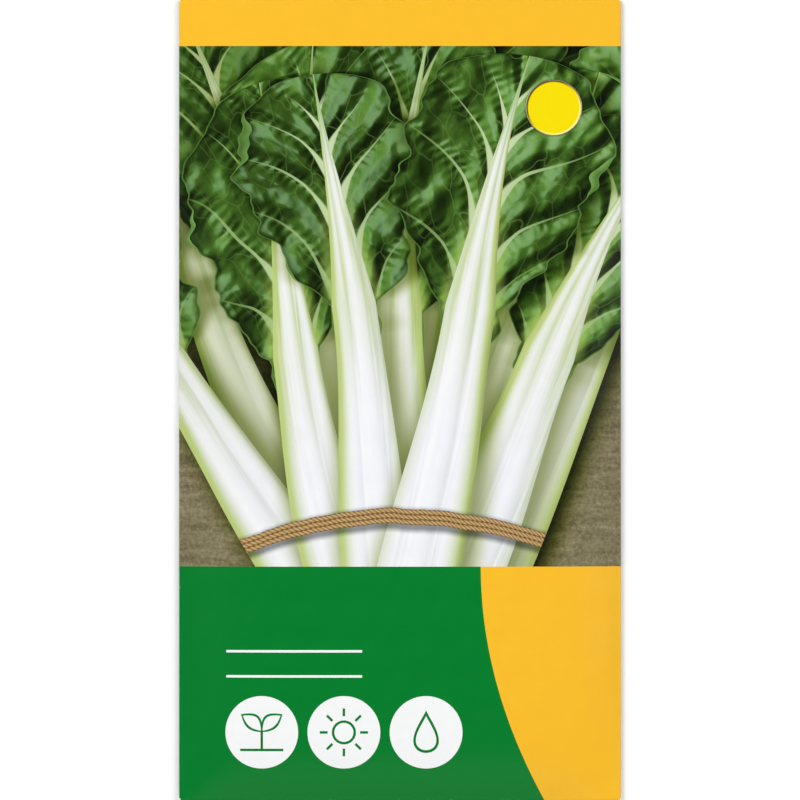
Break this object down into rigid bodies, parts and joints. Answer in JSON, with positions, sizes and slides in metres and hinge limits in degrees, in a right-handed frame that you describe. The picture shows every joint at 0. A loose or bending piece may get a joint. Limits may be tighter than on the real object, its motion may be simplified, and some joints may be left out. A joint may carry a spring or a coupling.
{
  "type": "seed packet",
  "caption": "Flat paper seed packet folded from one printed sheet, glued along the back and at both ends, with a round label on its front and loose seeds inside.",
  "frame": {"origin": "on the surface that the packet lies on, under the middle of its outline", "axes": "the packet lies on its back: +X runs across the front to the side of the round label, +Y up the front towards the top flap, +Z out of the front"},
  "size_m": [0.09, 0.1632, 0.006],
  "materials": {
    "printed_paper": "satin varnish over print",
    "label_paper": "gloss with a silver foil rim",
    "dry_glue": "dried paper glue",
    "seed_husk": "rough corky husk"
  },
  "bodies": {
    "root": {"envelope_paper": "printed_paper", "seam_glue": "dry_glue", "bottom_flap_glue": "dry_glue", "top_flap_glue": "dry_glue", "round_label": "label_paper", "seed_group_01": "seed_husk", "seed_group_02": "seed_husk", "seed_group_03": "seed_husk", "seed_group_04": "seed_husk", "seed_group_05": "seed_husk", "seed_group_06": "seed_husk", "seed_group_07": "seed_husk", "seed_group_08": "seed_husk", "seed_group_09": "seed_husk", "seed_group_10": "seed_husk", "seed_group_11": "seed_husk", "seed_group_12": "seed_husk", "seed_group_13": "seed_husk", "seed_group_14": "seed_husk", "seed_group_15": "seed_husk", "seed_group_16": "seed_husk", "seed_group_17": "seed_husk", "seed_group_18": "seed_husk", "seed_group_19": "seed_husk", "seed_group_20": "seed_husk", "seed_group_21": "seed_husk", "seed_group_22": "seed_husk", "seed_group_23": "seed_husk", "seed_group_24": "seed_husk", "seed_group_25": "seed_husk", "seed_group_26": "seed_husk", "seed_group_27": "seed_husk", "seed_group_28": "seed_husk", "seed_group_29": "seed_husk", "seed_group_30": "seed_husk", "seed_group_31": "seed_husk", "seed_group_32": "seed_husk", "seed_group_33": "seed_husk", "seed_group_34": "seed_husk", "seed_group_35": "seed_husk", "seed_group_36": "seed_husk", "seed_group_37": "seed_husk", "seed_group_38": "seed_husk", "seed_group_39": "seed_husk", "seed_group_40": "seed_husk", "seed_group_41": "seed_husk", "seed_group_42": "seed_husk", "seed_group_43": "seed_husk", "seed_group_44": "seed_husk", "seed_group_45": "seed_husk", "seed_group_46": "seed_husk", "seed_group_47": "seed_husk", "seed_group_48": "seed_husk", "seed_group_49": "seed_husk", "seed_group_50": "seed_husk", "seed_group_51": "seed_husk", "seed_group_52": "seed_husk"}
  },
  "joints": []
}
